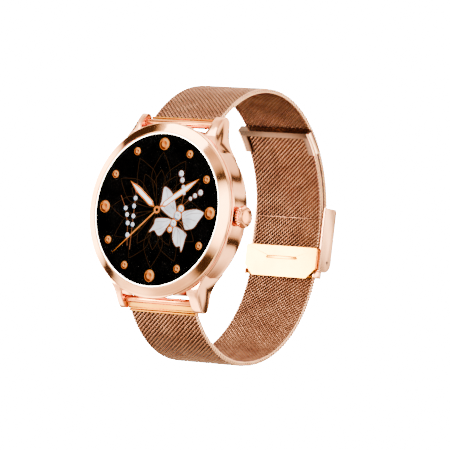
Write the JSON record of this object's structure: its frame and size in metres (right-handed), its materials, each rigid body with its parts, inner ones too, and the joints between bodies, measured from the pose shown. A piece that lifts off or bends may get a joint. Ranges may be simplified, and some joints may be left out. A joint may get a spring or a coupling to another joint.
{
  "type": "smartwatch",
  "caption": "Round smartwatch with a polished case, a fluted push crown and a closed wire-mesh strap with a folding slide clasp.",
  "frame": {"origin": "centre of the flat window on the case back, on the dial axis, where a charger or the wrist sits", "axes": "+X to 3 o'clock (the crown), +Y out of the case back towards the clasp, +Z to 12 o'clock; the dial faces -Y"},
  "size_m": [0.0402, 0.0509, 0.0603],
  "materials": {
    "polished_rose_gold": "mirror-polished rose-gold plating",
    "pale_rose_gold": "polished pale rose-gold plating",
    "orange_rose_gold": "polished warm rose-gold plating",
    "pale_gold": "satin pale-gold plating",
    "rose_mesh": "woven wire mesh, rose-gold plated",
    "steel": "turned stainless steel",
    "screen_glass": "black display glass, flush",
    "silver_rim": "thin polished silver ring",
    "dark_glass": "dark optical window",
    "black_rubber": "moulded seal",
    "black_plastic": "moulded nylon",
    "white_plastic": "moulded acetal",
    "circuit_board": "green solder mask",
    "foil_cell": "aluminium laminate pouch",
    "gold_contact": "gold-plated contact"
  },
  "bodies": {
    "case": {"bezel": "polished_rose_gold", "screen_rim": "silver_rim", "cover_glass": "screen_glass", "display_panel": "black_plastic", "display_seal": "black_rubber", "mid_case": "polished_rose_gold", "case_back": "pale_rose_gold", "back_seal": "black_rubber", "back_screws": "steel", "sensor_window": "dark_glass", "sensor_board": "circuit_board", "charge_contacts": "gold_contact", "inner_frame": "black_plastic", "battery": "foil_cell", "vibration_motor": "steel", "main_board": "circuit_board", "board_chips": "black_plastic", "crown_tube": "steel", "crown_seal": "black_rubber", "crown_switch": "black_plastic"},
    "crown_slider": {"crown_clip": "steel", "switch_plunger": "white_plastic"},
    "crown_knob": {"crown": "polished_rose_gold", "crown_stem": "steel"},
    "upper_band": {"upper_sleeve": "orange_rose_gold", "upper_clamp": "pale_gold", "upper_bar_spring": "steel", "upper_strap": "rose_mesh", "strap_end_bar": "pale_rose_gold"},
    "lower_band": {"lower_sleeve": "orange_rose_gold", "lower_clamp": "pale_gold", "lower_bar_spring": "steel", "lower_strap": "rose_mesh", "tail_keeper": "pale_rose_gold", "clasp_base": "polished_rose_gold", "cover_pin": "steel", "lock_plate_pin": "steel"},
    "cover": {"clasp_cover": "pale_rose_gold"},
    "plate": {"lock_plate": "pale_gold"},
    "tip_upper_left": {"upper_bar_tip_left": "steel"},
    "tip_upper_right": {"upper_bar_tip_right": "steel"},
    "tip_lower_left": {"lower_bar_tip_left": "steel"},
    "tip_lower_right": {"lower_bar_tip_right": "steel"}
  },
  "joints": [
    {"name": "crown_press", "type": "slide", "parent": "case", "child": "crown_slider", "axis": [-1, 0, 0], "range_m": [0, 0.00035], "stiffness_N_per_m": 3000, "springref_m": -0.0003},
    {"name": "crown_turn", "type": "hinge", "parent": "crown_slider", "child": "crown_knob", "pos_m": [0.019, -0.0056, 0], "axis": [1, 0, 0], "continuous": true},
    {"name": "upper_band_swing", "type": "hinge", "parent": "case", "child": "upper_band", "pos_m": [0, -0.0048, 0.019], "axis": [1, 0, 0], "range_deg": [0, 20]},
    {"name": "lower_band_swing", "type": "hinge", "parent": "case", "child": "lower_band", "pos_m": [0, -0.0048, -0.019], "axis": [-1, 0, 0], "range_deg": [0, 12]},
    {"name": "clasp_open", "type": "hinge", "parent": "lower_band", "child": "cover", "pos_m": [0, 0.0392, -0.0052], "axis": [-1, 0, 0], "range_deg": [0, 100]},
    {"name": "lock_plate_open", "type": "hinge", "parent": "lower_band", "child": "plate", "pos_m": [0, 0.0361, -0.00888], "axis": [1, 0, 0], "range_deg": [0, 50]},
    {"name": "tip_upper_left_press", "type": "slide", "parent": "upper_band", "child": "tip_upper_left", "axis": [1, 0, 0], "range_m": [0, 0.0015], "stiffness_N_per_m": 1200, "springref_m": -0.0008},
    {"name": "tip_upper_right_press", "type": "slide", "parent": "upper_band", "child": "tip_upper_right", "axis": [-1, 0, 0], "range_m": [0, 0.0015], "stiffness_N_per_m": 1200, "springref_m": -0.0008},
    {"name": "tip_lower_left_press", "type": "slide", "parent": "lower_band", "child": "tip_lower_left", "axis": [1, 0, 0], "range_m": [0, 0.0015], "stiffness_N_per_m": 1200, "springref_m": -0.0008},
    {"name": "tip_lower_right_press", "type": "slide", "parent": "lower_band", "child": "tip_lower_right", "axis": [-1, 0, 0], "range_m": [0, 0.0015], "stiffness_N_per_m": 1200, "springref_m": -0.0008}
  ],
  "couplings": [
    {"joint": "upper_band_swing", "follows": "clasp_open", "ratio": 0.2},
    {"joint": "lower_band_swing", "follows": "clasp_open", "ratio": 0.12}
  ]
}
